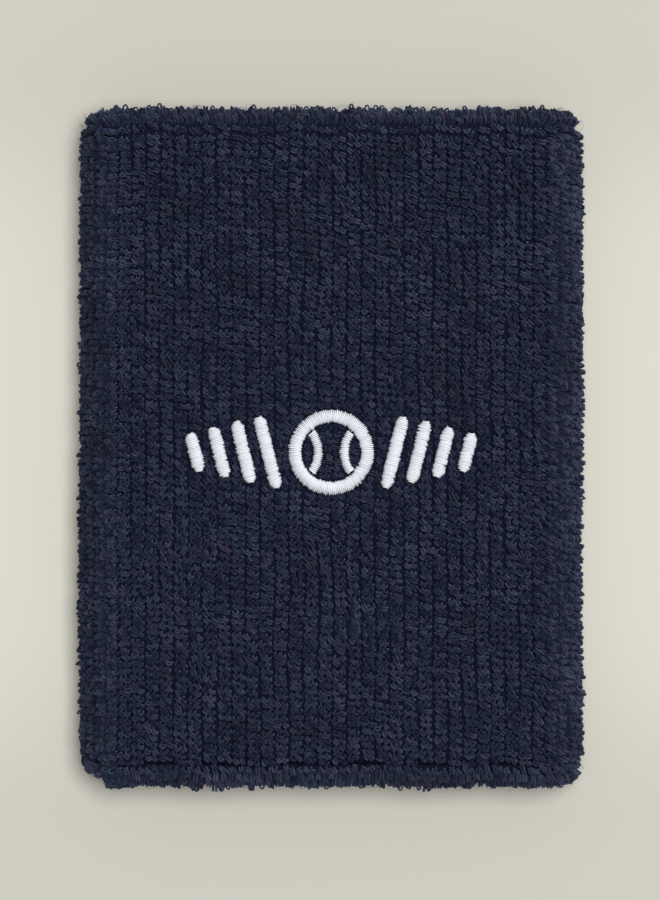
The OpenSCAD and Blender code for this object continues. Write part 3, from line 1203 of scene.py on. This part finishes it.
class BAND_OT_open_loops(Operator):
    """Stand single open loops of one ply proud of the rims and the side folds"""

    bl_idname = "band.open_loops"
    bl_label = "Open loops"

    def execute(self, context):
        knit = context.scene.wristband_knit
        rng = np.random.default_rng(29)
        rim, fold = RIM_OPEN_LOOPS, FOLD_OPEN_LOOPS
        end = np.where(rng.random(rim) < 0.6, 1.0, -1.0)
        side = np.where(rng.random(fold) < 0.5, 1.0, -1.0)
        middle = np.where(side > 0, (FRONT_END + RIGHT_END) / 2, (UNDER_END + 1) / 2)
        front = rng.uniform(-0.02, FRONT_END + 0.02, rim)
        around = np.concatenate([front, middle + rng.normal(0, 0.014, fold)])
        along = np.concatenate([end * TURN_Y, rng.uniform(-TURN_Y, TURN_Y, fold)])
        turn = np.concatenate([rng.uniform(1.1, 1.7, rim), np.zeros(fold)])
        count = rim + fold
        height = GROUND_DEPTH * rng.uniform(1.0, 1.3, count)
        width = knit.half_loop * rng.uniform(0.75, 1.15, count)
        slant = np.concatenate([rng.normal(0, 0.45, rim), rng.normal(-1.3, 0.35, fold)])
        places = wall().ground(around, along, turn)
        lean = rng.normal(0, 0.2, count)
        paths = loops(places, height, width, slant, lean, 1, knit.yarn, rng, OPEN_LOOP)
        yarn_piece(
            "open_loops",
            crop(paths, knit.yarn / 2),
            0.9 * knit.yarn,
            # A lighter mean tint than the front's: painted light on the rims and folds
            ply_tints(count, 1, rng, OPEN_LOOP, 0.6),
            terry_finish(),
            "terry_navy",
            "upper_rim_terry",
            "lower_rim_terry",
            "outer_terry_face",
        )
        return {"FINISHED"}


class BAND_OT_stray_fibres(Operator):
    """Scatter the fine fibres that stand off the loops"""

    bl_idname = "band.stray_fibres"
    bl_label = "Stray fibres"

    def execute(self, context):
        rng = np.random.default_rng(17)
        count = FIBRES
        around = rng.random(count)
        along = rng.uniform(-TURN_Y, TURN_Y, count)
        edge = rng.random(count) < 0.3
        end = np.where(rng.random(count) < 0.5, -1.0, 1.0)
        along = np.where(edge, end * TURN_Y, along)
        turn = np.where(edge, rng.uniform(0, 2.2, count), 0.0)
        x, _, _, out_z = flat_loop(around)
        clear = (out_z < 0) | (off_emblem(x, along) > 2.2 * MM)
        around, along, turn, count = around[clear], along[clear], turn[clear], int(clear.sum())
        point, across, course, stand = wall().ground(around, along, turn)
        steps = np.linspace(0, 1, FIBRE_POINTS)[None, :, None]
        length = rng.uniform(0.5, 1.7, (count, 1, 1)) * MM
        heading = rng.uniform(0, 2 * math.pi, (count, 1, 1))
        drift = np.cos(heading) * across[:, None] + np.sin(heading) * course[:, None]
        bend = rng.normal(0, 0.5, (count, 1, 1))
        swerve = np.cos(heading) * course[:, None] - np.sin(heading) * across[:, None]
        start = point[:, None] + stand[:, None] * (GROUND_DEPTH - 0.25 * MM)
        arch = 0.55 * np.sin(2.4 * steps) * stand[:, None]
        paths = crop(start + length * (steps * drift + bend * steps**2 * swerve + arch), 0.05 * MM)
        tint = np.clip(rng.normal(0.8, 0.2, count), 0, 1)
        yarn_piece("stray_fibres", paths, FIBRE, tint, terry_finish(), "terry_navy", "outer_terry_face")
        return {"FINISHED"}


# Half the table's side, how far its painted pool of light reaches, and where the camera stands over the band
TABLE_HALF = 3.0
LIGHT_POOL_REACH = 0.07
CAMERA_PLACE = (-0.2 * MM, -0.4 * MM)

# Each light's name, place and size
LIGHTS = (("key_light", (0.150, 0.085, 1.31), 0.56), ("side_light", (0.62, 0.62, 0.55), 0.40))


class BAND_OT_stage(Operator):
    """Set the table, the lights and the camera"""

    bl_idname = "band.stage"
    bl_label = "Stage"

    def execute(self, context):
        scene = context.scene
        stage = scene.wristband_stage
        scene.view_settings.view_transform = "Standard"
        top = bmesh.new()
        bmesh.ops.create_grid(top, x_segments=8, y_segments=8, size=TABLE_HALF)
        mesh = mesh_of("table", top)
        mesh.materials.append(table_finish())
        table = bpy.data.objects.new("table", mesh)
        scene.collection.objects.link(table)

        for (name, place, size), power in zip(LIGHTS, (stage.key_power, stage.side_power)):
            lamp = bpy.data.lights.new(name, "AREA")
            lamp.shape = "DISK"
            lamp.size = size
            lamp.energy = power
            light = bpy.data.objects.new(name, lamp)
            scene.collection.objects.link(light)
            light.location = place
            light.rotation_euler = (-light.location).to_track_quat("-Z", "Y").to_euler()
        # The side light models the loops and leaves the table to the key light
        shaded = bpy.data.collections.new("not_lit_from_the_side")
        shaded.objects.link(table)
        shaded.collection_objects[0].light_linking.link_state = "EXCLUDE"
        light.light_linking.receiver_collection = shaded
        world = bpy.data.worlds.new("studio")
        world.use_nodes = True
        background = world.node_tree.nodes["Background"]
        background.inputs["Color"].default_value = (1.0, 1.0, 1.0, 1.0)
        background.inputs["Strength"].default_value = stage.sky
        scene.world = world

        lens = bpy.data.cameras.new("camera")
        lens.lens = stage.lens
        camera = bpy.data.objects.new("camera", lens)
        scene.collection.objects.link(camera)
        view_height = stage.view_width * stage.view_shape
        distance = view_height * stage.lens / lens.sensor_width
        camera.location = (*CAMERA_PLACE, FACE_HIGH[2] + distance)
        scene.camera = camera
        return {"FINISHED"}


OPERATORS = (
    BAND_OT_stage,
    BAND_OT_ground_knit,
    BAND_OT_outer_terry,
    BAND_OT_inside_terry,
    BAND_OT_rims,
    BAND_OT_closing_seam,
    BAND_OT_elastic,
    BAND_OT_backing,
    BAND_OT_emblem,
    BAND_OT_open_loops,
    BAND_OT_stray_fibres,
)


class BAND_PT_sidebar(Panel):
    """Lists the wristband's steps in the 3D view's sidebar"""

    bl_idname = "BAND_PT_sidebar"
    bl_label = "Terry Wristband"
    bl_space_type = "VIEW_3D"
    bl_region_type = "UI"
    bl_category = "Wristband"

    def draw(self, context):
        for operator in OPERATORS:
            self.layout.operator(operator.bl_idname)


GROUPS = {
    "wristband_knit": KnitSettings,
    "wristband_emblem": EmblemSettings,
    "wristband_colours": ColourSettings,
    "wristband_stage": StageSettings,
}


def register():
    """Adds the settings, the steps and the panel."""
    for name, group in GROUPS.items():
        bpy.utils.register_class(group)
        setattr(bpy.types.Scene, name, PointerProperty(type=group))
    for operator in OPERATORS:
        bpy.utils.register_class(operator)
    bpy.utils.register_class(BAND_PT_sidebar)


def unregister():
    """Removes what register added."""
    bpy.utils.unregister_class(BAND_PT_sidebar)
    for operator in reversed(OPERATORS):
        bpy.utils.unregister_class(operator)
    for name, group in reversed(GROUPS.items()):
        delattr(bpy.types.Scene, name)
        bpy.utils.unregister_class(group)


def main():
    """Builds the wristband."""
    register()
    bpy.ops.band.stage()
    bpy.ops.band.ground_knit()
    bpy.ops.band.outer_terry()
    bpy.ops.band.inside_terry()
    bpy.ops.band.rims()
    bpy.ops.band.closing_seam()
    bpy.ops.band.elastic()
    bpy.ops.band.backing()
    bpy.ops.band.emblem()
    bpy.ops.band.open_loops()
    bpy.ops.band.stray_fibres()


if __name__ == "__main__":
    main()
